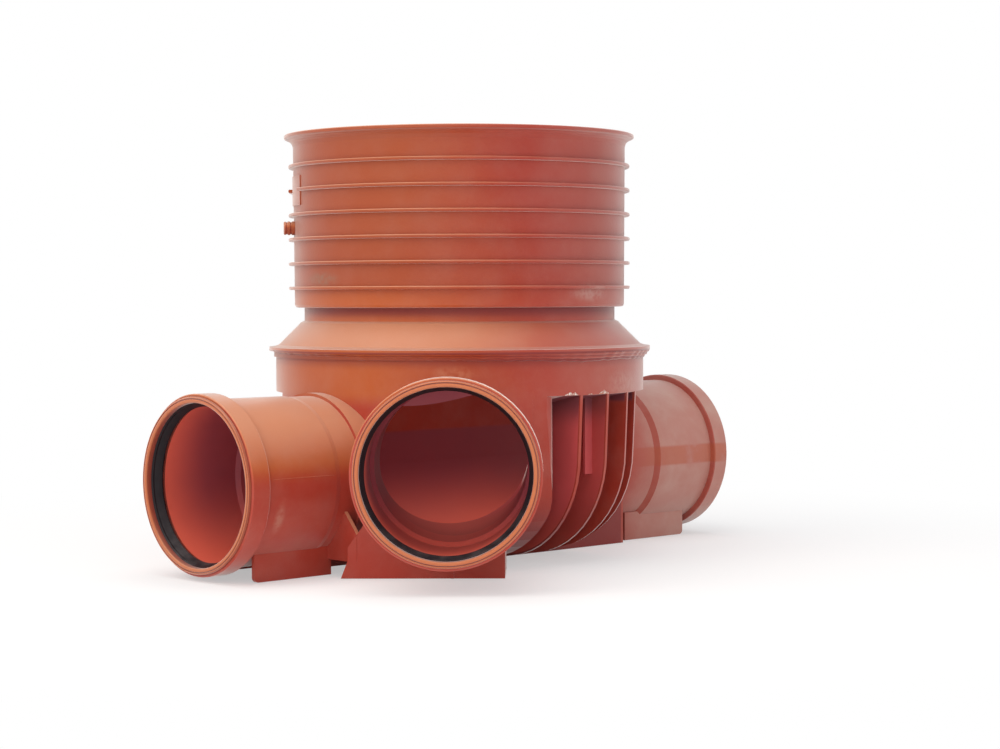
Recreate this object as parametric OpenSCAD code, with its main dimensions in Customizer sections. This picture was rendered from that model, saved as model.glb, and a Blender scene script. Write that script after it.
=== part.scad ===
// Drain inspection chamber: a moulded base with a through channel, one side inlet
// and a ribbed riser socket welded on top. Millimetres, +Z up, +X towards the outlet.
// The origin is on the riser's axis, in the plane that the base stands on.

/* [Drain sockets] */
// Radius of the socket bore, which takes a drain pipe of radius 80
bore_r = 80.3; // [80.2:0.05:80.6]
// Radius of the channel and of the stubs' bore
channel_r = 76; // [72:0.5:77]
// Outer radius of the stub between the body and the bell
stub_r = 81; // [80.5:0.1:82]
// Outer radius of the inlet's stub, which is thicker
inlet_stub_r = 84.3; // [83:0.1:85]
// Outer radius of the bell round the socket bore
bell_r = 85.3; // [84.5:0.1:86]
// Outer radius of the collar round the seal
collar_r = 91.5; // [90.5:0.1:93]
// Radius of the seat that holds the seal
seat_r = 87; // [86.5:0.1:88]
// Distance from the mouth back to the collar's rear face
collar_back = 24.8; // [23:0.1:28]
// Distance from the mouth back to the end of the seal's seat
seat_back = 22; // [20:0.1:22.5]
// Distance from the mouth back to the pipe stop
stop_depth = 112; // [105:0.5:114]

/* [Where the sockets lie] */
// Distance from the riser's axis to the inlet's mouth
inlet_reach = 361.4; // [350:0.1:380]
// Distance from the riser's axis to the outlet's mouth
outlet_reach = 348.7; // [345:0.1:380]
// Distance from the riser's axis to the side inlet's mouth
side_reach = 374.9; // [365:0.1:390]
// Height of the run's axis
run_z = 95.5; // [94:0.1:97]
// Height of the side inlet's axis
side_z = 115.4; // [110:0.1:118]
// Direction of the side inlet, anticlockwise from the outlet
side_angle = 225; // [215:1:230]

/* [Body] */
// Outer radius of the body's wall
body_r = 201.8; // [200:0.1:203]
// Thickness of the body's wall and of the benching
wall = 4.8; // [4:0.1:6]
// Height of the skirt's lower edge, above the open rib bays
skirt_z = 180; // [178:0.5:184]
// Height at which the riser socket is welded on
weld_z = 220.8; // [219:0.1:222]
// Fall of the benching from the wall to the channel, in degrees
benching_fall = 12; // [8:1:15]
// Places of the ribs along the run, in the bay on the side inlet's side
near_ribs = [-15, 26, 66, 88];
// Places of the ribs along the run, on the plain side
far_ribs = [-88, -51, -15, 26, 66, 88];
// Place along the run where the closed cheek round the side inlet ends
cheek_x = -38; // [-48:1:-34]
// Thickness of a rib
rib_t = 3.5; // [3:0.1:5]

/* [Feet] */
// Distance of the keels from the run's axis
keel_y = 64; // [60:1:66]
// Half the length of the keels
keel_reach = 192; // [185:1:195]
// Distance of the feet under the run's bells from its axis
foot_y = 50; // [46:1:54]
// Where the inlet's feet start and end along the run
inlet_foot = [229, 327]; // [220:1:330]
// Where the outlet's feet start and end along the run
outlet_foot = [210, 310]; // [205:1:315]
// Distance from the riser's axis to the plate under the side inlet
side_foot_reach = 234; // [225:1:240]
// Width of that plate from its centre to its square end
side_foot_w = 53; // [48:1:56]
// Width of that plate from its centre to the tip of its wing
side_wing_w = 112; // [108:1:114]
// Thickness of a foot plate
foot_t = 4.5; // [4:0.1:6]

/* [Riser socket] */
// Radius of the riser's bore, which takes a corrugated riser of diameter 355
riser_bore_r = 177.8; // [177.6:0.05:178]
// Outer radius of the riser socket at its foot
riser_foot_r = 180.8; // [180.6:0.1:181.4]
// Outer radius of the riser socket below its rim
riser_top_r = 182; // [181.6:0.1:182.6]
// Outer radius of the neck between the cone and the socket
neck_r = 170.4; // [169:0.1:172]
// Height of the ledge that the riser stands on
ledge_z = 274.8; // [273:0.1:276]
// Outer radius of the hoops
hoop_r = 187.2; // [186:0.1:188]
// Thickness of a hoop
hoop_t = 3.5; // [3:0.1:4]
// Number of hoops
hoops = 6; // [4:1:6]
// Height of the lowest hoop's underside
hoop_z = 290; // [288:0.5:292]
// Distance from one hoop to the next
hoop_pitch = 26.45; // [25:0.05:27]
// Outer radius of the flared rim
rim_r = 191.8; // [190:0.1:193]
// Height of the rim
rim_z = 458; // [455:0.5:462]
// Outer radius of the lip above the weld
lip_r = 209.2; // [207:0.1:211]

/* [Hidden] */
$fn = 96;
e = 0.02;

plastic_colour = "chocolate";
rubber_colour = "dimgray";

body_inner_r = body_r - wall;
bench_wall_z = skirt_z + wall;
bench_centre_z = bench_wall_z - body_inner_r * tan(benching_fall);

taper_root = 119;      // from the mouth back to where the bell has narrowed to the stub
taper_full = 113;      // from the mouth back to where the bell has its full radius
stop_end = 116;        // from the mouth back to where the bore has narrowed to the channel
collar_front = 3.2;    // from the mouth back to the collar's front face
collar_edge = 0.9;     // chamfer of the collar's edges
ring_bore_r = 82.4;
ring_flange_r = 88.8;
ring_flange_t = 2.4;
ring_end = 6.5;        // from the mouth back to where the cap ring's spigot ends
root_collar_r = 87.4;  // thickened root of the inlet's stub
root_collar_end = 214;

bowl_flat_z = 118;     // the bowl's side starts to curve in below this height
bowl_side_r = 198.5;
bowl_curve_r = 113.5;
bowl_floor_z = bowl_flat_z - bowl_curve_r;
cheek_corner_r = 20;

// Places its children with their own Z axis along a port that points at an angle
module along_port(angle, height) {
    translate([0, 0, height]) rotate([0, 0, angle]) rotate([0, 90, 0]) children();
}

// Outside of one port: stub, bell and collar, as a solid bar from the riser's axis
module port_outside(reach, stub) {
    rotate_extrude() polygon([
        [0, 0],
        [stub, 0],
        [stub, reach - taper_root],
        [bell_r, reach - taper_full],
        [bell_r, reach - collar_back - collar_edge],
        [collar_r - collar_edge, reach - collar_back],
        [collar_r, reach - collar_back + collar_edge],
        [collar_r, reach - collar_front - collar_edge],
        [collar_r - collar_edge, reach - collar_front],
        [0, reach - collar_front]
    ]);
}

// Inside of one port: channel, pipe stop, socket bore and the seal's seat
module port_inside(reach) {
    rotate_extrude() polygon([
        [0, 0],
        [channel_r, 0],
        [channel_r, reach - stop_end],
        [bore_r, reach - stop_depth],
        [bore_r, reach - seat_back],
        [seat_r, reach - seat_back],
        [seat_r, reach],
        [0, reach]
    ]);
}

// A trough of radius r whose sides rise straight up, from the riser's axis outwards
module trough(r, length, height, top) {
    translate([0, 0, height]) rotate([0, 90, 0]) cylinder(r = r, h = length);
    translate([0, -r, height]) cube([length, 2 * r, top - height]);
}

// All three channels as troughs, to the full radius of the body
module troughs(r, length, top) {
    rotate([0, 0, 180]) trough(r, length, run_z, top);
    trough(r, length, run_z, top);
    rotate([0, 0, side_angle]) trough(r, length, side_z, top);
}

// Everything below the benching's upper surface
module under_benching() {
    rotate_extrude() polygon([
        [0, 0],
        [body_r, 0],
        [body_r, bench_wall_z],
        [body_inner_r, bench_wall_z],
        [0, bench_centre_z]
    ]);
}

// Wall above the skirt's edge with the weld flange, and the sloping benching
module wall_and_benching() {
    flange_r = 203.9;
    flange_t = 3.2;
    rotate_extrude() polygon([
        [0, bench_centre_z],
        [body_inner_r, bench_wall_z],
        [body_inner_r, weld_z],
        [flange_r, weld_z],
        [flange_r, weld_z - flange_t],
        [body_r, weld_z - flange_t],
        [body_r, skirt_z],
        [0, skirt_z - body_r * tan(benching_fall)]
    ]);
}

// Points of an arc, in equal steps
function arc(centre, r, from, to, steps) =
    [for (i = [0 : steps]) let (a = from + (to - from) * i / steps)
        [centre.x + r * cos(a), centre.y + r * sin(a)]];

// Bowl that the ribs' outer edges and the cheek follow, taken in by an inset
module bowl(inset = 0) {
    arc_steps = 12;
    centre = [bowl_side_r - bowl_curve_r, bowl_flat_z];
    rotate_extrude() polygon(concat(
        [[0, bowl_floor_z + inset]],
        arc(centre, bowl_curve_r - inset, -90, 0, arc_steps),
        [[body_r - inset, skirt_z + 1], [0, skirt_z + 1]]
    ));
}

// Plan of the closed cheek between the inlet and the rib bay, with its rounded corner
module cheek_plan(inset) {
    corner_x = cheek_x - cheek_corner_r;
    corner_y = -sqrt(pow(body_r - cheek_corner_r, 2) - pow(corner_x, 2));
    back_y = wall / 2 - inset;
    intersection() {
        circle(r = body_r - inset);
        translate([-body_r, -body_r]) square([body_r + corner_x, body_r + back_y]);
    }
    translate([corner_x, corner_y]) circle(r = cheek_corner_r - inset);
    translate([corner_x - e, corner_y]) square([cheek_corner_r - inset + e, back_y - corner_y]);
}

// Cheek: a wall that follows the bowl down from the skirt, open underneath
module cheek() {
    mouth_r = 108;
    difference() {
        intersection() {
            bowl();
            linear_extrude(skirt_z + 1) cheek_plan(0);
        }
        intersection() {
            union() {
                bowl(wall);
                cylinder(r = mouth_r, h = bowl_flat_z);
            }
            linear_extrude(skirt_z + 1) cheek_plan(wall);
        }
    }
}

// One rib across the run, on one side of it (side is -1 or 1)
module rib(x, side) {
    foot_h = 40;
    translate([x - rib_t / 2, side < 0 ? -body_r : 0, 0]) intersection() {
        cube([rib_t, body_r, skirt_z + 1]);
        translate([rib_t / 2 - x, side < 0 ? body_r : 0, 0]) bowl();
    }
    translate([x - rib_t / 2, side < 0 ? -keel_y : 0, 0]) cube([rib_t, keel_y, foot_h]);
}

// Ribs of both sides, under the benching
module ribs() {
    intersection() {
        under_benching();
        union() {
            for (x = near_ribs) rib(x, -1);
            for (x = far_ribs) rib(x, 1);
        }
    }
}

// Narrow upright web beside the second rib of the bay, down from the benching
module bay_web() {
    size = [10.5, 3, 84];
    translate([near_ribs[1] - rib_t / 2 - size.x + e, -178, 95]) cube(size);
}

// Upright plate in the XZ plane from x0 to x1, centred on y, with a rounded lower end
module foot_plate(x0, x1, y, height) {
    corner = 5;
    length = x1 - x0;
    translate([x0, y + foot_t / 2, 0]) rotate([90, 0, 0]) linear_extrude(foot_t) {
        square([length - corner, height]);
        translate([0, corner]) square([length, height - corner]);
        translate([length - corner, corner]) circle(r = corner);
    }
}

// Keels, centre web and the plates under the bells of the run
module run_feet() {
    keel_h = run_z - sqrt(pow(stub_r, 2) - pow(keel_y + foot_t / 2, 2)) + 1.5;
    web_h = run_z - stub_r + 1.5;
    foot_h = run_z - sqrt(pow(bell_r, 2) - pow(foot_y + foot_t / 2, 2)) + 4;
    for (side = [-1, 1]) {
        translate([-keel_reach, side * keel_y - foot_t / 2, 0])
            cube([2 * keel_reach, foot_t, keel_h]);
        foot_plate(outlet_foot[0], outlet_foot[1], side * foot_y, foot_h);
        rotate([0, 0, 180]) foot_plate(inlet_foot[0], inlet_foot[1], side * foot_y, foot_h);
    }
    translate([-keel_reach, -rib_t / 2, 0]) cube([2 * keel_reach, rib_t, web_h]);
}

// Foot under the side inlet: a cross plate with a wing towards the inlet, two side
// plates and a centre web
module side_foot() {
    start = 150;
    web_proud = 1.2;
    height = side_z - sqrt(pow(stub_r, 2) - pow(side_foot_w, 2)) + 2;
    wing = [[0, 0], [7, 18], [7, 31], [40, 78]];    // from the wing's tip on the ground
    rotate([0, 0, side_angle]) {
        translate([side_foot_reach - foot_t, 0, 0]) rotate([90, 0, 90]) linear_extrude(foot_t)
            polygon(concat(
                [for (p = wing) [p.x - side_wing_w, p.y]],
                [[0, wing[3].y], [side_foot_w, height], [side_foot_w, 0]]
            ));
        for (y = [-side_foot_w, side_foot_w - foot_t])
            translate([start, y, 0]) cube([side_foot_reach - start, foot_t, height]);
        translate([start, -rib_t / 2, 0])
            cube([side_foot_reach + web_proud - start, rib_t, height]);
    }
}

// Tie plate, clear of the ground, from the inlet's near foot to the tip of the wing
module foot_tie() {
    edge = [[-98, 16], [-98, 44], [-79, 66]];      // its free edge, from the wing to the pipe
    translate([-inlet_foot[0] - foot_t, 0, 0]) rotate([90, 0, 90]) linear_extrude(foot_t)
        polygon(concat(edge, [[-foot_y, 40], [-foot_y, edge[0].y]]));
}

// The moulded base: one piece with its three ports, benching, ribs and feet
module chamber_base() color(plastic_colour) difference() {
    union() {
        wall_and_benching();
        intersection() {
            under_benching();
            troughs(stub_r, body_r, weld_z);
        }
        intersection() {
            under_benching();
            cheek();
        }
        ribs();
        bay_web();
        run_feet();
        side_foot();
        foot_tie();
        along_port(180, run_z) port_outside(inlet_reach, inlet_stub_r);
        along_port(0, run_z) port_outside(outlet_reach, stub_r);
        along_port(side_angle, side_z) port_outside(side_reach, stub_r);
        along_port(180, run_z) translate([0, 0, body_inner_r - 30])
            cylinder(r = root_collar_r, h = root_collar_end - body_inner_r + 30);
    }
    intersection() {
        cylinder(r = body_inner_r, h = weld_z + 1);
        troughs(channel_r, body_r, weld_z + 1);
    }
    along_port(180, run_z) port_inside(inlet_reach);
    along_port(0, run_z) port_inside(outlet_reach);
    along_port(side_angle, side_z) port_inside(side_reach);
}

// Half section of the riser socket: weld flange, lip, cone, neck, socket and flared rim
module riser_section() {
    foot_z = ledge_z - 4;
    flare_z = 445;
    rim_h = 3.1;
    cone_sum = 429;                       // radius plus height along the cone's outside
    inner_sum = cone_sum - wall * sqrt(2);
    neck_inner_r = neck_r - 4;
    lip_z = 224;
    lip_t = 4;
    polygon([
        [body_inner_r, weld_z],
        [203.9, weld_z],
        [203.9, lip_z],
        [lip_r, lip_z],
        [lip_r, lip_z + lip_t],
        [lip_r - 4.5, lip_z + lip_t + 0.3],
        [cone_sum - 230.5, 230.5],
        [cone_sum - 234.5, 234.5],
        [neck_r + 4, cone_sum - neck_r - 4],
        [neck_r, cone_sum - neck_r - 2],
        [neck_r, foot_z],
        [riser_foot_r - 3, foot_z],
        [riser_foot_r - 0.8, foot_z + 0.8],
        [riser_foot_r, foot_z + 3],
        [riser_top_r, flare_z],
        [riser_top_r + 1.2, flare_z + 3.8],
        [riser_top_r + 3.2, flare_z + 6.2],
        [rim_r - 3.5, flare_z + 8.2],
        [rim_r - 0.7, rim_z - rim_h - 0.7],
        [rim_r, rim_z - rim_h],
        [rim_r, rim_z - 0.8],
        [rim_r - 0.8, rim_z],
        [rim_r - 3.2, rim_z],
        [rim_r - 4, rim_z - 0.8],
        [riser_bore_r + 4.6, flare_z + 9.4],
        [riser_bore_r + 1.5, flare_z + 5.2],
        [riser_bore_r, flare_z],
        [riser_bore_r, ledge_z],
        [neck_inner_r, ledge_z],
        [neck_inner_r, inner_sum - neck_inner_r],
        [body_inner_r, inner_sum - body_inner_r]
    ]);
}

// Outside of the riser socket's hoops
module hoop_section() {
    root_r = riser_foot_r - 1;
    hoop_edge = 0.9;
    for (i = [0 : hoops - 1])
        translate([0, hoop_z + i * hoop_pitch]) polygon([
            [root_r, 0],
            [hoop_r - hoop_edge, 0],
            [hoop_r, hoop_edge],
            [hoop_r, hoop_t - hoop_edge],
            [hoop_r - hoop_edge, hoop_t],
            [root_r, hoop_t]
        ]);
}

// Upper shell, welded on the base: it takes the corrugated riser
module riser_socket() color(plastic_colour) {
    pad_angle = 151;
    pad_size = [60, 46, 32];
    pad_z = 381;
    pad_r = 182.9;
    nub_angle = 146;
    nub_z = 357;
    nub_start = riser_foot_r - 1.3;
    difference() {
        rotate_extrude() {
            riser_section();
            hoop_section();
        }
        difference() {
            rotate([0, 0, pad_angle])
                translate([riser_foot_r - pad_size.x / 2, -pad_size.y / 2 - 3, pad_z + 8])
                    cube([pad_size.x, pad_size.y + 6, hoop_pitch - 4]);
            cylinder(r = riser_top_r - 0.2, h = rim_z);
        }
    }
    intersection() {
        rotate([0, 0, pad_angle]) translate([riser_foot_r - pad_size.x / 2, -pad_size.y / 2, pad_z])
            cube(pad_size);
        difference() {
            cylinder(r = pad_r, h = rim_z);
            cylinder(r = riser_foot_r, h = rim_z);
        }
    }
    rotate([0, 0, nub_angle]) translate([nub_start, 0, nub_z]) rotate([0, 90, 0]) rotate_extrude()
        polygon([
            [0, 0], [7.5, 0], [7.5, 4.6], [6.6, 5.2], [6.6, 6.4], [7.5, 7],
            [7.5, 9], [6.6, 9.6], [6.6, 10.8], [7.2, 11.4], [7.2, 13], [6.4, 13.6], [0, 13.6]
        ]);
}

// Lip seal, with its lip pressed back as it is round a pipe
module seal(angle, height, reach) {
    lip_r = 81.1;
    color(rubber_colour) along_port(angle, height) translate([0, 0, reach]) rotate_extrude()
        polygon([
            [seat_r, -ring_end],
            [seat_r, -seat_back],
            [lip_r + 0.8, -seat_back],
            [lip_r, -20.5],
            [lip_r, -17],
            [82.2, -14.5],
            [83.4, -12],
            [ring_bore_r, -9.5],
            [ring_bore_r, -ring_end]
        ]);
}

// Snap-in ring that keeps a seal in its seat
module cap_ring(angle, height, reach) {
    color(plastic_colour) along_port(angle, height) translate([0, 0, reach]) rotate_extrude()
        polygon([
            [ring_bore_r, -ring_end],
            [seat_r, -ring_end],
            [seat_r, -ring_flange_t],
            [ring_flange_r, -ring_flange_t],
            [ring_flange_r, -0.8],
            [ring_flange_r - 0.8, 0],
            [ring_bore_r + 0.8, 0],
            [ring_bore_r, -0.8]
        ]);
}

module inlet_seal() seal(180, run_z, inlet_reach);
module side_inlet_seal() seal(side_angle, side_z, side_reach);
module outlet_seal() seal(0, run_z, outlet_reach);
module inlet_cap_ring() cap_ring(180, run_z, inlet_reach);
module side_inlet_cap_ring() cap_ring(side_angle, side_z, side_reach);
module outlet_cap_ring() cap_ring(0, run_z, outlet_reach);

chamber_base();
riser_socket();
inlet_seal();
side_inlet_seal();
outlet_seal();
inlet_cap_ring();
side_inlet_cap_ring();
outlet_cap_ring();
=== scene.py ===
import math

import bpy
import numpy as np
from mathutils import Matrix, Vector


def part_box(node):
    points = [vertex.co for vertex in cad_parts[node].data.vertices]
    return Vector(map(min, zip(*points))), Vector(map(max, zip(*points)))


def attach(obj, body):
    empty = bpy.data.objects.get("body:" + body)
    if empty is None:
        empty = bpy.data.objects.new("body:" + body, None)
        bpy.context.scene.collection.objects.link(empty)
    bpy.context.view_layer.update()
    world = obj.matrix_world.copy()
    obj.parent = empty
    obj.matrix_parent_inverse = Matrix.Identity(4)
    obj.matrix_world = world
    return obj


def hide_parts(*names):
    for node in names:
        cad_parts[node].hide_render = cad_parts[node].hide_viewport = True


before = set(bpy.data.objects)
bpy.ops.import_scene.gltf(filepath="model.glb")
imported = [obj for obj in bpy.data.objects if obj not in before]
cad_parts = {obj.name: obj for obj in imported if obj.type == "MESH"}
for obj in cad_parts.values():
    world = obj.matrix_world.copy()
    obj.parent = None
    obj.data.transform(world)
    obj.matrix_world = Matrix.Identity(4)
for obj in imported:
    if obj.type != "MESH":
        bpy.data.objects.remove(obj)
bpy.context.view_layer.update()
scene = bpy.context.scene
millimetre = 0.001


class Wire:  # a node's output that Python's operators work on
    def __init__(self, tree, socket=None):
        self.tree, self.socket = tree, socket

    def node(self, kind, settings=None, inputs=None, output=0):
        made = self.tree.nodes.new(kind)
        for name, value in (settings or {}).items():
            setattr(made, name, value)
        for name, value in (inputs or {}).items():
            if isinstance(value, Wire):
                self.tree.links.new(value.socket, made.inputs[name])
            else:
                made.inputs[name].default_value = value
        return Wire(self.tree, made.outputs[output])

    def math(self, operation, *values):
        return self.node("ShaderNodeMath", {"operation": operation}, dict(enumerate(values)))

    def vector(self, operation, *values, output=0):
        return self.node("ShaderNodeVectorMath", {"operation": operation},
                         dict(enumerate(values)), output)

    def __add__(self, other):
        return self.math("ADD", self, other)

    def __radd__(self, other):
        return self.math("ADD", other, self)

    def __sub__(self, other):
        return self.math("SUBTRACT", self, other)

    def __rsub__(self, other):
        return self.math("SUBTRACT", other, self)

    def __mul__(self, other):
        return self.math("MULTIPLY", self, other)

    def __rmul__(self, other):
        return self.math("MULTIPLY", other, self)

    def __truediv__(self, other):
        return self.math("DIVIDE", self, other)

    def __pow__(self, other):
        return self.math("POWER", self, other)

    def smaller(self, other):
        return self.math("MINIMUM", self, other)

    def larger(self, other):
        return self.math("MAXIMUM", self, other)

    def unsigned(self):
        return self.math("ABSOLUTE", self)

    def band(self, low, high):  # 0 at low, 1 at high, smooth between and level beyond
        return self.node("ShaderNodeMapRange", {"interpolation_type": "SMOOTHSTEP"},
                         {"Value": self, "From Min": low, "From Max": high})

    def dot(self, other):
        return self.vector("DOT_PRODUCT", self, other, output=1)

    def length(self):
        return self.vector("LENGTH", self, output=1)

    def near(self, point, size):  # 1 at a point, 0 outside an ellipsoid of that size round it
        away = self.vector("SUBTRACT", self, point)
        away = self.vector("DIVIDE", away, size)
        return away.length().band(1.0, 0.2)

    def part(self, index):
        return self.node("ShaderNodeSeparateXYZ", {}, {"Vector": self}, index)

    def noise(self, scale, detail=3.0, rough=0.5):
        return self.node("ShaderNodeTexNoise", {}, {
            "Vector": self, "Scale": scale, "Detail": detail, "Roughness": rough})

    def blend(self, first, second):  # a colour: self picks between the two
        made = self.tree.nodes.new("ShaderNodeMix")
        made.data_type = "RGBA"
        sockets = [socket for socket in made.inputs if socket.type == "RGBA"]
        self.tree.links.new(self.socket, made.inputs[0])
        for socket, value in zip(sockets, (first, second)):
            if isinstance(value, Wire):
                self.tree.links.new(value.socket, socket)
            else:
                socket.default_value = (*value, 1)
        return Wire(self.tree, [socket for socket in made.outputs if socket.type == "RGBA"][0])


def startMaterial(name, **fixed):
    material = bpy.data.materials.new(name)
    material.use_nodes = True
    tree = material.node_tree
    shader = tree.nodes["Principled BSDF"]
    for socket, value in fixed.items():
        shader.inputs[socket.replace("_", " ")].default_value = value
    place = Wire(tree).node("ShaderNodeTexCoord", {}, {}, "Object")
    facing = Wire(tree).node("ShaderNodeNewGeometry", {}, {}, "Normal")
    return material, shader, place, facing


def connect(shader, socket, wire):
    wire.tree.links.new(wire.socket, shader.inputs[socket])


def mixSurface(tree, share, first, second):
    # the material's surface: share picks between two shaders' outputs
    mixed = tree.nodes.new("ShaderNodeMixShader")
    for socket, source in zip(mixed.inputs, (share.socket, first, second)):
        tree.links.new(source, socket)
    tree.links.new(mixed.outputs[0], tree.nodes["Material Output"].inputs["Surface"])


view = {
    "bearing": 227.1,    # where the camera stands, anticlockwise from the outlet
    "distance": 2.481,   # from the riser's axis
    "height": 0.2861,
    "turn": 1.02,        # to the right of the riser's axis
    "tilt": -2.08,
    "roll": -0.21,
    "lens": 80.97,
    "sensor": 36.0,
    "clipEnd": 50.0,
}


def makeCamera():
    data = bpy.data.cameras.new("viewCamera")
    data.lens, data.sensor_width = view["lens"], view["sensor"]
    data.clip_end = view["clipEnd"]
    camera = bpy.data.objects.new("viewCamera", data)
    scene.collection.objects.link(camera)
    bearing = math.radians(view["bearing"])
    heading = bearing + math.pi - math.radians(view["turn"])
    tilt, roll = math.radians(view["tilt"]), math.radians(view["roll"])
    ahead = Vector((math.cos(heading) * math.cos(tilt), math.sin(heading) * math.cos(tilt),
                    math.sin(tilt)))
    right = Vector((math.sin(heading), -math.cos(heading), 0))
    up = right.cross(ahead)
    turned = Matrix((right * math.cos(roll) + up * math.sin(roll),
                     up * math.cos(roll) - right * math.sin(roll), -ahead)).transposed()
    camera.matrix_world = Matrix.Translation((
        view["distance"] * math.cos(bearing), view["distance"] * math.sin(bearing),
        view["height"])) @ turned.to_4x4()
    scene.camera = camera


makeCamera()
print("camera placed")


studio = {
    "skyLevel": 0.50,              # what the room gives to matt surfaces
    "skyColour": (0.96, 0.96, 1.0),
    "floorColour": (0.96, 0.96, 0.96),
    "floorSide": 12.0,
    "floorDrop": -0.0006,          # just under the feet, so that the two never share a plane
    "shadowReach": (0.30, 0.95),   # from where to where the floor turns plain white
    "lift": 0.45,                  # how white the floor is already under the object
    # lamps: power, colour, size, and the place as (towards the camera, to its left, up)
    "key": (38.0, (1.0, 0.94, 0.84), 2.0, (1.7, 2.3, 2.4)),
    "top": (46.0, (1.0, 0.97, 0.93), 2.6, (0.3, 0.3, 3.0)),
    "side": (12.0, (0.97, 0.97, 0.97), 2.2, (0.9, -2.9, 1.3)),
    "front": (5.6, (1.0, 0.96, 0.94), 1.0, (1.55, 0.20, 0.35)),
    "mirrored": ("top", "side"),   # the lamps that show in a gloss
    "aim": (0, 0, 0.2),            # where they all point
}


def addLamp(name, power, colour, size, place):
    data = bpy.data.lights.new(name, "AREA")
    data.energy, data.color, data.size = power, colour, size
    lamp = bpy.data.objects.new(name, data)
    scene.collection.objects.link(lamp)
    lamp.location = place
    aim = Vector(studio["aim"]) - Vector(place)
    lamp.rotation_euler = aim.to_track_quat("-Z", "Y").to_euler()
    lamp.visible_glossy = name in studio["mirrored"]


def seenOf(tree):  # 1 for what the camera sees, also in a gloss or through a clear wall
    seen = Wire(tree).node("ShaderNodeLightPath", {}, {}, "Is Camera Ray")
    for ray in ("Is Glossy Ray", "Is Transmission Ray"):
        seen = seen.larger(seen.node("ShaderNodeLightPath", {}, {}, ray))
    return seen


def makeLamps():
    bearing = math.radians(view["bearing"])
    towards = Vector((math.cos(bearing), math.sin(bearing), 0))
    left = Vector((towards.y, -towards.x, 0))
    for name in ("key", "top", "side", "front"):
        power, colour, size, (ahead, aside, height) = studio[name]
        place = towards * ahead + left * aside + Vector((0, 0, height))
        addLamp(name, power, colour, size, place)


def makeRoom():
    # white to look at, dimmer to light by
    world = bpy.data.worlds.new("studioWorld")
    scene.world = world
    world.use_nodes = True
    tree = world.node_tree
    seen = seenOf(tree)
    background = tree.nodes["Background"]
    level = seen * (1 - studio["skyLevel"]) + studio["skyLevel"]
    connect(background, "Strength", level)
    connect(background, "Color", seen.blend(studio["skyColour"], (1, 1, 1)))


def makeFloor():
    side = studio["floorSide"]
    mesh = bpy.data.meshes.new("studioFloor")
    mesh.from_pydata([(-side, -side, 0), (side, -side, 0), (side, side, 0), (-side, side, 0)],
                     [], [(0, 1, 2, 3)])
    floor = bpy.data.objects.new("studioFloor", mesh)
    scene.collection.objects.link(floor)
    floor.location.z = studio["floorDrop"]
    material, shader, place, facing = startMaterial("floorPaper", Roughness=0.9)
    shader.inputs["Base Color"].default_value = (*studio["floorColour"], 1)
    shader.inputs["Specular IOR Level"].default_value = 0.1
    # the paper keeps the shadow near the object and is plain white further out
    away = place.vector("DISTANCE", place, (0.0, 0.0, 0.0), output=1)
    white = away.band(*studio["shadowReach"]) * (1 - studio["lift"]) + studio["lift"]
    emission = place.node("ShaderNodeEmission", {}, {"Color": (1, 1, 1, 1), "Strength": 1.0})
    mixSurface(place.tree, seenOf(place.tree) * white, shader.outputs[0], emission.socket)
    mesh.materials.append(material)


makeLamps()
makeRoom()
makeFloor()
scene.view_settings.view_transform = "Standard"
print("studio lit")


plastic = {
    "redTone": (0.410, 0.046, 0.026),    # the red of the side away from the key light: painted shade
    "plain": (0.490, 0.114, 0.032),        # the orange of the side the key light falls on: painted light
    "paleTone": (0.600, 0.255, 0.140),     # pale tops: painted sheen of the top lamp
    "shadeTone": (0.200, 0.026, 0.027),       # painted shade in folds, and in low or overhung places
    "dustAndSheen": (0.57, 0.41, 0.34),
    "outletBand": (0.50, 0.15, 0.06),      # the strip rubbed clean along the outlet
    # painted light: a brighter red in the bays between the ribs
    "litBetweenRibs": (0.640, 0.110, 0.110),
    "underSkirt": (0.160, 0.055, 0.065),   # painted shade at the top of the bays between the ribs
    # painted light near a bore's mouth
    "litBoreMouth": (0.840, 0.150, 0.090),
    "bore": (0.310, 0.062, 0.080),         # out of the light
    "keyLightSide": (-0.7325, 0.6807, 0),       # the side the key lamp lights
    # dust on the outlet, partly painted sheen
    "outletDustAndSheen": 0.42,
    "roughness": 0.34,
    "ringRoughness": 0.30,
    "innerRoughness": 0.55,
    "innerIor": 1.40,
}
sheen = {
    "Sheen_Weight": 1.00, "Sheen_Roughness": 0.34, "Sheen_Tint": (1.0, 0.96, 0.91, 1.0),
    "IOR": 1.33,
}

# scale, detail and roughness of each noise
texture = {
    "cloud": (7.0, 4.0),
    "grain": (340.0, 2.0),
    "film": (30.0, 6.0, 0.55),
    "wiped": (30.0, 4.0, 0.6),
    "scuff": (160.0, 5.0, 0.6),
    "gloss": (60.0, 4.0),
    "bump": (520.0, 2.0),
}
# how strongly each thing shows
strength = {
    "drift": 0.05,                      # how far the clouds move the sunny side's edge, metres
    "cloud": 0.22, "grain": 0.22,
    "paleCloud": 0.4, "ringPale": 0.3,
    "film": 0.10, "outletFilm": 0.16, "farSideSheen": 0.15, "endFaces": 0.7,
    "wiped": 0.6, "outletBand": 0.6,
    "underLip": 0.70, "lipLine": 0.90, "keel": 0.85, "riser": 0.20, "keyLitRiser": 0.26,
    "paintedShade": 0.85, "foldShade": 0.85,
    "gloss": 0.14, "filmGloss": 0.20,   # what noise and film add to the roughness
    "bump": 0.5, "bumpHeight": 0.0002,
    "boreCloud": 0.3, "bayTone": 0.35, "bayLight": 0.55, "bayShade": 0.80, "innerKeel": 0.35,
}

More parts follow.
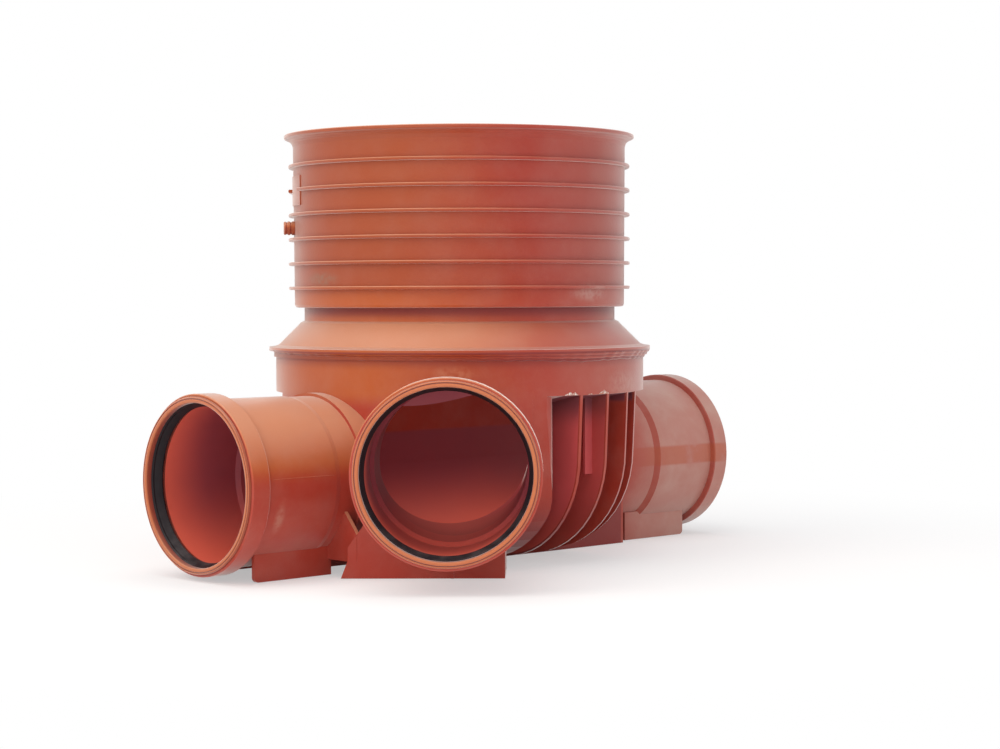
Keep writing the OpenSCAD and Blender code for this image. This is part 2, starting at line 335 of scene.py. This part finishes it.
# where each tone starts and where it is full: metres, or a share of a face's normal
reach = {
    "film": (0.30, 0.85),
    "wipedPatch": (0.25, 0.55),
    "scuffPatch": (0.25, 0.65),
    "keyLit": (-0.10, 0.10),
    "aboveSkirt": (0.165, 0.185),
    "tops": (-0.05, 0.30),           # faces that look up a little
    "topsFrom": (0.085, 0.120),      # and how high they have to lie
    "paleTops": (0.15, 0.75),
    "paleSide": (-0.17, 0.08),
    # painted sheen on the side away from the key lamp
    "farSideSheen": (-0.05, -0.19),
    "outlet": (0.17, 0.26),
    "endFaces": (0.25, 0.60),        # the outlet's steps, which the outlet's dust and painted sheen leave alone
    "wipedFrom": (0.0850, 0.0885),
    "wipedTo": (0.1100, 0.1065),
    "wipedSide": (-0.05, -0.06),
    "outside": (-0.30, 0.00),
    "inward": (-0.15, -0.30),
    "neckWall": (0.1785, 0.1770),
    "neckFrom": (0.2560, 0.2680),
    "neckTo": (0.2765, 0.2755),
    "lipHollow": (0.2060, 0.2030),
    "lipFrom": (0.2060, 0.2190),
    "lipTo": (0.2300, 0.2260),
    "lipLine": (0.2070, 0.2080),     # a fine painted shadow line along the lip's lower edge
    "lineFrom": (0.2236, 0.2242),
    "lineTo": (0.2262, 0.2252),
    "keelFall": (0.085, 0.030),
    "keelInside": (0.2010, 0.1990),
    "keelSide": (-0.02, -0.03),
    "riserWall": (0.276, 0.300),
    "bayWall": (0.2014, 0.2004),
    "bayTop": (0.1806, 0.1796),
    "bayFrom": (-0.0375, -0.0365),   # along the run: the cheek ends here
    "bayTo": (0.120, 0.100),
    "baySide": (0.00, -0.01),
    "bayShade": (0.140, 0.178),
    "bayLightTop": (0.176, 0.150),
    "bayLightFoot": (0.035, 0.075),
    "deepAway": (0.370, 0.290),
    "deepUp": (0.00, 0.10),
    "benchingUp": (0.3, 0.5),
    "benchingAway": (0.1985, 0.1965),
    "benchingTop": (0.217, 0.213),
}
# the hollows: a point on the axis, the axis, how far along it the hollow starts, its radius
hollows = {
    "run": ((0.0, 0.0, 0.0955), (1.0, 0.0, 0.0), None, 0.0840),
    "sideInlet": ((0.0, 0.0, 0.1154), (-math.sqrt(0.5), -math.sqrt(0.5), 0.0), 0.105, 0.0840),
    "shaft": ((0.0, 0.0, 0.0955), (0.0, 0.0, 1.0), 0.075, 0.1985),
}
# the base's round underside: an upright side, a quarter round below it, and how far it splays
bowl = {
    "side": 0.1985, "curve": 0.1135, "spring": 0.118, "splay": 0.052,
    "edge": (-0.0024, -0.0012),   # where the ribs' edges start and are full, off the curve
}
# a smear or scuff: its middle, its size, its colour and how strongly it shows
marks = {
    "smear": ((-0.1795, 0.020, 0.301), (0.020, 0.040, 0.010), (0.30, 0.26, 0.17), 0.55),
    "rubbedRiser": ((0.022, -0.180, 0.286), (0.040, 0.030, 0.012), (0.62, 0.50, 0.44), 0.35),
    "rubbedSkirt": ((0.060, -0.192, 0.190), (0.050, 0.034, 0.018), (0.60, 0.46, 0.38), 0.22),
    "paleSkirt": ((-0.142, -0.143, 0.203), (0.030, 0.030, 0.012), (0.60, 0.24, 0.13), 0.55),
    "bellScuff": ((-0.317, -0.080, 0.064), (0.008, 0.020, 0.022), (0.52, 0.24, 0.17), 0.55),
}


def within(value, *names):
    # the product of one value's bands
    share = value.band(*reach[names[0]])
    for name in names[1:]:
        share = share * value.band(*reach[name])
    return share


def awayFrom(place, facing, middle, direction):
    # distance from the line through a point along a direction, how far a face looks out from it,
    # and how far along it the place lies
    across = place.vector("SUBTRACT", place, middle)
    along = across.dot(direction)
    shadow = along.node("ShaderNodeVectorMath", {"operation": "SCALE"}, {0: direction, 3: along})
    across = across.vector("SUBTRACT", across, shadow)
    distance = across.length()
    outward = facing.dot(across) / distance.larger(0.001)
    return distance, outward, along


def hollowWalls(place, facing):
    # 1 on the walls of the run, the side inlet's bore and the shaft
    walls = 0.0
    for middle, direction, start, radius in hollows.values():
        distance, outward, along = awayFrom(place, facing, middle, direction)
        wall = distance.band(radius + 0.001, radius - 0.001) * within(outward, "inward")
        if start is not None:
            wall = wall * along.band(start - 0.002, start + 0.002)
        walls = wall.larger(walls)
    # and on the benching that looks up inside the shaft
    benching = (within(facing.part(2), "benchingUp") * within(distance, "benchingAway")
                * within(place.part(2), "benchingTop"))
    return walls.larger(benching)


def keyLitColour(place, facing, lateral, cloud, paleness):
    # painted light and shade: orange on the key-lit side, red away from it, a pale sheen on the
    # tops
    height, lookUp = place.part(2), facing.part(2)
    side = within(lateral, "keyLit")
    above = within(height, "aboveSkirt")
    grain = place.noise(*texture["grain"]) - 0.5
    keyLit = side * above.larger(within(lookUp, "tops") * within(height, "topsFrom"))
    keyLit = keyLit.larger(paleness) + cloud * strength["cloud"] + grain * strength["grain"]
    colour = keyLit.blend(plastic["redTone"], plastic["plain"])
    # painted sheen of the top lamp on the tops that look up; rings take some of it all over
    paleShare = within(lookUp, "paleTops") * within(lateral, "paleSide")
    paleShare = paleShare.larger(paleness * strength["ringPale"])
    paleShare = paleShare * (0.9 + cloud * strength["paleCloud"])
    return paleShare.blend(colour, plastic["paleTone"])


def dustAndSheenOn(place, facing, lateral, dusty):
    # a dust film all over; on the outlet dust and painted sheen, and painted sheen on the far side
    height = place.part(2)
    film = within(place.noise(*texture["film"]), "film")
    outlet = within(place.part(0), "outlet")
    farSideSheen = within(lateral, "farSideSheen") * within(height, "aboveSkirt") * (1.0 - outlet)
    level = 1.0 - within(facing.part(0).unsigned(), "endFaces") * strength["endFaces"]
    wiped = within(height, "wipedFrom", "wipedTo") * within(place.part(1), "wipedSide")
    wiped = wiped * within(place.noise(*texture["wiped"]), "wipedPatch") * strength["wiped"]
    onOutlet = film * strength["outletFilm"] + plastic["outletDustAndSheen"]
    onOutlet = outlet * level * (1.0 - wiped) * onOutlet
    dustAndSheen = film * strength["film"] + onOutlet + farSideSheen * strength["farSideSheen"]
    return dustAndSheen * dusty, wiped * outlet


def paintedShadePlaces(place, facing, lateral, distance):
    # painted shade on the neck, in the hollow and line under the lip, on the low keels and the
    # riser's wall
    height = place.part(2)
    neck = within(distance, "neckWall") * within(height, "neckFrom", "neckTo")
    underLip = within(distance, "lipHollow") * within(height, "lipFrom", "lipTo")
    lipLine = within(distance, "lipLine") * within(height, "lineFrom", "lineTo")
    keel = (within(height, "keelFall") * within(distance, "keelInside")
            * within(place.part(1), "keelSide"))
    # painted shade over the riser's wall, more on its key-lit side
    riser = within(height, "riserWall") * (1.0 - within(facing.part(2), "tops"))
    riser = riser * (within(lateral, "keyLit") * strength["keyLitRiser"] + strength["riser"])
    paintedShade = neck.larger(underLip * strength["underLip"]).larger(lipLine * strength["lipLine"])
    return paintedShade.larger(keel * strength["keel"]).larger(riser), keel


def ribEdges(place, distance):
    # 1 within a millimetre or two of the bowl's outside, where the ribs' edges catch the light:
    # the length of (distance - splayed side, height below the spring) against the quarter round
    above = place.part(2) - bowl["spring"]
    across = distance - (bowl["side"] - bowl["curve"]) - above.larger(0.0) * bowl["splay"]
    down = above.smaller(0.0)
    first, last = bowl["edge"]
    return ((across * across + down * down) ** 0.5).band(
        bowl["curve"] + first, bowl["curve"] + last)


def innerColour(place, distance, cloud, bays, keel):
    # painted light and shade: lit at bore mouths and between the ribs, dark inside, darkest under
    # the skirt
    height = place.part(2)
    deep = within(distance, "deepAway") * within(height, "deepUp")
    deep = deep + cloud * strength["boreCloud"]
    colour = deep.blend(plastic["litBoreMouth"], plastic["bore"])
    lit = within(height, "bayLightTop", "bayLightFoot")
    tone = bays * (strength["bayTone"] + strength["bayLight"] * lit)
    colour = tone.blend(colour, plastic["litBetweenRibs"])
    shade = bays * within(height, "bayShade") * strength["bayShade"]
    colour = shade.blend(colour, plastic["underSkirt"])
    return (keel * strength["innerKeel"]).blend(colour, plastic["shadeTone"])


def makePlastic(name, roughness, dusty, paleness, hollow):
    # two shaders: the sheeny outside, and a matt one in the hollows and between the ribs;
    # the last three are shares of: dust and painted sheen, the orange and pale tones all over, the
    # matt shader
    material, shader, place, facing = startMaterial(name, **sheen)
    cloud = place.noise(*texture["cloud"]) - 0.5
    lateral = place.dot(plastic["keyLightSide"]) + cloud * strength["drift"]
    distance, outward, along = awayFrom(place, facing, (0.0, 0.0, 0.0), (0.0, 0.0, 1.0))
    outside = within(outward, "outside")

    colour = keyLitColour(place, facing, lateral, cloud, paleness)
    film, wiped = dustAndSheenOn(place, facing, lateral, dusty)
    colour = film.blend(colour, plastic["dustAndSheen"])
    colour = (wiped * strength["outletBand"]).blend(colour, plastic["outletBand"])
    spread = within(place.noise(*texture["scuff"]), "scuffPatch")
    for middle, size, tint, shown in marks.values():
        colour = (place.near(middle, size) * spread * shown).blend(colour, tint)
    # painted shade in low, overhung and folded places
    paintedShade, keel = paintedShadePlaces(place, facing, lateral, distance)
    colour = (paintedShade * outside * strength["paintedShade"]).blend(colour, plastic["shadeTone"])
    # painted shade in the folds of a piece that carries the attribute
    foldShade = place.node("ShaderNodeAttribute", {"attribute_name": "foldShade"}, {}, "Fac")
    foldShade = foldShade * strength["foldShade"]
    connect(shader, "Base Color", foldShade.blend(colour, plastic["shadeTone"]))
    rough = place.noise(*texture["gloss"]) * strength["gloss"] + film * strength["filmGloss"]
    connect(shader, "Roughness", rough + (roughness - strength["gloss"] / 2))
    bump = place.node("ShaderNodeBump", {}, {
        "Height": place.noise(*texture["bump"]),
        "Distance": strength["bumpHeight"], "Strength": strength["bump"]})
    connect(shader, "Normal", bump)

    # the bays between the ribs take the matt shader's painted light and shade
    bays = within(distance, "bayWall") * within(place.part(2), "bayTop")
    bays = bays * within(place.part(0), "bayFrom", "bayTo") * within(place.part(1), "baySide")
    shaded = bays * outside * (1.0 - ribEdges(place, distance))
    shaded = hollowWalls(place, facing).larger(shaded) * hollow
    matt = place.node("ShaderNodeBsdfPrincipled", {}, {
        "Base Color": innerColour(place, distance, cloud, bays, keel),
        "Roughness": plastic["innerRoughness"], "IOR": plastic["innerIor"]})
    mixSurface(place.tree, shaded, shader.outputs[0], matt.socket)
    return material


rubber = {
    "finish": {"Roughness": 0.48, "IOR": 1.35},
    "tones": ((0.008, 0.006, 0.008), (0.018, 0.014, 0.017)),
    "toneScale": 120.0,
    "dustAndSheen": (0.16, 0.14, 0.14),
    "dustTexture": (60.0, 5.0),    # scale and detail
    "dustPatch": (0.35, 0.75),
    "dustUp": (0.2, 0.9),          # only where a face looks up
    "dustShare": 0.35,
}


def makeRubber():
    material, shader, place, facing = startMaterial("sealRubber", **rubber["finish"])
    colour = place.noise(rubber["toneScale"]).blend(*rubber["tones"])
    # dust, and a painted highlight, on the faces that look up: the low inside of a seal
    dustAndSheen = place.noise(*rubber["dustTexture"]).band(*rubber["dustPatch"])
    dustAndSheen = dustAndSheen * facing.part(2).band(*rubber["dustUp"]) * rubber["dustShare"]
    colour = dustAndSheen.blend(colour, rubber["dustAndSheen"])
    connect(shader, "Base Color", colour)
    return material


basePlastic = makePlastic("basePlastic", plastic["roughness"],
                          dusty=1.0, paleness=0.0, hollow=1.0)
ringPlastic = makePlastic("ringPlastic", plastic["ringRoughness"],
                          dusty=0.3, paleness=1.0, hollow=0.0)
sealRubber = makeRubber()
dressing = {
    "chamber_base": basePlastic, "riser_socket": basePlastic,
    "inlet_cap_ring": ringPlastic, "side_inlet_cap_ring": ringPlastic,
    "outlet_cap_ring": ringPlastic,
    "inlet_seal": sealRubber, "side_inlet_seal": sealRubber, "outlet_seal": sealRubber,
}
for name, material in dressing.items():
    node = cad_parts[name]
    node.data.materials.clear()
    node.data.materials.append(material)
print("materials given")


ports = {"inlet": 180.0, "side_inlet": 225.0, "outlet": 0.0}   # the way each socket faces
upward = np.array((0.0, 0.0, 1.0))


def portFrame(port):
    # the middle of a socket's mouth, its outward and its sideways direction, from its ring's box
    low, high = (np.array(corner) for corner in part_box(port + "_cap_ring"))
    angle = math.radians(ports[port])
    outward = np.array((math.cos(angle), math.sin(angle), 0.0))
    sideways = np.array((-math.sin(angle), math.cos(angle), 0.0))
    radius = (high[2] - low[2]) / 2
    furthest = (np.maximum(abs(low), abs(high)) * abs(outward)).sum()
    reachOut = furthest - 2 * radius * abs(outward[0] * outward[1])
    mouth = outward * reachOut
    mouth[2] = (low[2] + high[2]) / 2
    return mouth, outward, sideways


def circle(steps):
    return np.linspace(0, 2 * math.pi, steps, endpoint=False)


def skin(name, points, material, closedPath, sharpness=35.0):
    # quads between the rows of a grid of points, whose columns close on themselves
    rows, columns = points.shape[:2]
    index = np.arange(rows * columns).reshape(rows, columns)
    ahead = np.roll(index, -1, 0) if closedPath else index[1:]
    here = index if closedPath else index[:-1]
    quads = np.stack([here, np.roll(here, -1, 1), np.roll(ahead, -1, 1), ahead], -1)
    faces = quads.reshape(-1, 4).tolist()
    if not closedPath:
        faces += [index[0, ::-1].tolist(), index[-1].tolist()]
    mesh = bpy.data.meshes.new(name)
    mesh.from_pydata(points.reshape(-1, 3).tolist(), [], faces)
    mesh.polygons.foreach_set("use_smooth", np.ones(len(faces), bool))
    mesh.set_sharp_from_angle(angle=math.radians(sharpness))
    mesh.materials.append(material)
    piece = bpy.data.objects.new(name, mesh)
    scene.collection.objects.link(piece)
    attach(piece, "root")
    return piece


def roundAxis(away, angle, level):
    # (away cos angle, away sin angle, level): places round the riser's axis
    return np.stack([away * np.cos(angle)[:, None], away * np.sin(angle)[:, None], level], -1)


def revolve(name, port, outline, material, steps=180):
    # outline (radius, depth) turned round the port's axis:
    # mouth - depth * outward + radius * (cos t sideways + sin t up)
    mouth, outward, sideways = portFrame(port)
    radius, depth = np.array(outline).T * millimetre
    turn = circle(steps)[:, None, None]
    spoke = np.cos(turn) * sideways + np.sin(turn) * upward
    points = mouth - outward * depth[None, :, None] + spoke * radius[None, :, None]
    return skin(name, points, material, True)


def giveFoldShade(piece, amounts):
    # the same amounts of painted fold shade along every section of a piece
    foldShade = piece.data.attributes.new("foldShade", "FLOAT", "POINT")
    rounds = len(piece.data.vertices) // len(amounts)
    foldShade.data.foreach_set("value", np.tile(amounts, rounds))


seal = {   # (radius, depth behind the mouth): a body in its seat and a lip that narrows inward
    "outline": [(86.9, 6.6), (82.6, 6.6), (82.2, 7.4), (81.6, 8.2), (81.4, 9.0), (81.6, 9.8),
                (81.0, 11.0), (80.0, 13.0), (79.0, 15.2), (78.3, 17.0), (78.5, 17.8),
                (79.2, 17.6), (80.4, 15.8), (82.0, 14.4), (83.4, 14.2), (83.4, 21.8),
                (86.9, 21.8)],
}
capRing = {   # a flange with one fine groove, rounded off inside, and the spigot behind it
    "outline": [(88.75, 2.4), (88.7, 1.3), (88.3, 0.5), (87.9, 0.1), (87.5, 0.0), (87.1, 0.2),
                (86.8, 0.9), (86.4, 0.9), (86.1, 0.2), (85.7, 0.0), (84.2, 0.0), (83.3, 0.3),
                (82.7, 0.9), (82.4, 1.9), (82.4, 6.5), (86.9, 6.5), (86.9, 2.4)],
    # painted shade in the groove, behind the flange's rim and inside the bore
    "foldShade": (0, 1, 0.4, 0, 0, 0.5, 1, 1, 0.5, 0, 0, 0, 0.2, 0.7, 1, 1, 1),
}


def makeMouths():
    for port in ports:
        piece = revolve(port + "_lip_seal", port, seal["outline"], sealRubber)
        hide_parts(port + "_seal")
        piece = revolve(port + "_retaining_ring", port, capRing["outline"], ringPlastic)
        giveFoldShade(piece, capRing["foldShade"])
        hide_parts(port + "_cap_ring")


def wander(angle, seed, waves):
    # a sum of sines of whole numbers of waves round the circle, between about -1 and 1
    rng = np.random.default_rng(seed)
    total = sum(rng.uniform(0.4, 1.0) * np.sin(count * angle + rng.uniform(0, 2 * math.pi))
                for count in waves)
    return total / len(waves) ** 0.5


weld = {   # plastic squeezed out under the riser's lip where it was welded on, in soft folds
    "wall": 201.0, "top": 224.1,   # the section hangs from here and is measured from the wall
    "section": [(0.0, 0.0), (7.9, 0.0), (7.5, 1.4), (6.6, 2.5), (5.8, 2.4), (5.4, 3.3), (5.0, 4.9),
                (4.1, 5.6), (3.2, 5.4), (2.7, 6.3), (2.3, 7.7), (1.2, 8.5), (0.0, 8.7)],
    # painted shade under the lip and in the valleys between the folds
    "foldShade": (1, 0.9, 0, 0.4, 1, 0.5, 0, 0, 0.6, 1, 0.3, 0.3, 1),
    "thickest": 292.0,             # bearing at which it stands out most, degrees
    "least": 0.32, "taper": 0.6,   # how thin it gets, and how slowly
    "sway": 0.10, "rise": 0.14, "ripple": 0.05,
    "steps": 540,
    "slow": (4, (2, 3, 5, 8)),     # a seed, and numbers of waves round the circle
    "quick": (9, (31, 47, 68, 90)),
    "lift": (12, (3, 4, 7, 11)),
}


def makeWeld():
    # the section, scaled by how far the weld has swelled there and shaken by a sum of sines
    angle = circle(weld["steps"])
    swell = 0.5 + 0.5 * np.cos(angle - math.radians(weld["thickest"]))
    swell = (weld["least"] + (1 - weld["least"]) * swell ** weld["taper"])[:, None]
    out, down = np.array(weld["section"]).T
    slow, quick, lift = (wander(angle, *weld[kind])[:, None] for kind in ("slow", "quick", "lift"))
    ripple = 1 + weld["ripple"] * quick
    away = weld["wall"] + out * swell * (ripple + weld["sway"] * slow)
    level = weld["top"] - down * swell * (ripple + weld["rise"] * lift)
    piece = skin("lip_weld", roundAxis(away, angle, level) * millimetre,
                 basePlastic, True)
    giveFoldShade(piece, weld["foldShade"])


# torn slivers along the skirt's lower edge, over the ribs: (from, to) in degrees, height
flash = {
    "slivers": [((259.4, 264.4), 3.6), ((273.0, 277.6), 4.6), ((268.4, 270.2), 1.4)],
    "radius": 201.9, "edge": 180.2, "thick": 0.55, "least": 0.12, "seed": 21,
    "blunt": 0.6,                  # a power: below 1 it makes the hump's ends blunt
    "ragged": 0.38,                # the share of the height that wanders
    "waves": (2, 3, 7, 11, 17), "steps": 48, "sides": 10,
    "finish": {"Roughness": 0.6, "IOR": 1.4},
    "tones": ((0.52, 0.22, 0.14), (0.86, 0.78, 0.72)),
    "toneTexture": (420.0, 3.0), "tonePatch": (0.35, 0.65),
}


def makeFlash():
    # ovals of half sizes out and up, carried along the edge: a ragged hump from end to end
    material, shader, place, facing = startMaterial("tornEdge", **flash["finish"])
    tone = place.noise(*flash["toneTexture"]).band(*flash["tonePatch"])
    connect(shader, "Base Color", tone.blend(*flash["tones"]))
    around = circle(flash["sides"])[None, :]
    for number, ((first, last), tall) in enumerate(flash["slivers"]):
        share = np.linspace(0, 1, flash["steps"])
        angle = np.radians(first + (last - first) * share)
        ragged = wander(share * 2 * math.pi, flash["seed"] + number, flash["waves"])
        hump = np.sin(math.pi * share) ** flash["blunt"]
        tops = tall * hump * (1 - flash["ragged"] + flash["ragged"] * ragged)
        up = np.maximum(tops, flash["least"])[:, None] / 2
        out = flash["thick"] * (0.25 + hump)[:, None]
        away = flash["radius"] + out * np.cos(around)
        level = flash["edge"] + up + up * np.sin(around)
        skin("edge_sliver_%d" % (number + 1), roundAxis(away, angle, level) * millimetre,
             material, False)


seam = {   # a mould's parting line along the inlet's side
    "depths": (32.0, 112.0),   # from the mouth
    "tilt": -5.9,              # degrees off level
    "radius": 85.3, "halfWidth": 0.45, "proud": 0.22,
    "steps": 40, "sides": 10,
}


def makeSeam():
    # an oval, wider than it is proud, carried straight along the bell and fading at both ends
    mouth, outward, sideways = portFrame("inlet")
    first, last = seam["depths"]
    share = np.linspace(0, 1, seam["steps"])
    depth = (first + (last - first) * share) * millimetre
    fade = np.sin(math.pi * share) ** 0.25 + 0.02
    around = circle(seam["sides"])[None, :, None]
    tilt = math.radians(seam["tilt"])
    spoke = sideways * math.cos(tilt) - upward * math.sin(tilt)
    across = upward * math.cos(tilt) + sideways * math.sin(tilt)
    middle = mouth - outward * depth[:, None] + spoke * seam["radius"] * millimetre
    oval = seam["halfWidth"] * np.cos(around) * across + seam["proud"] * np.sin(around) * spoke
    points = middle[:, None] + fade[:, None, None] * millimetre * oval
    skin("inlet_parting_line", points, basePlastic, False)


makeMouths()
makeWeld()
makeFlash()
makeSeam()
print("pieces made")
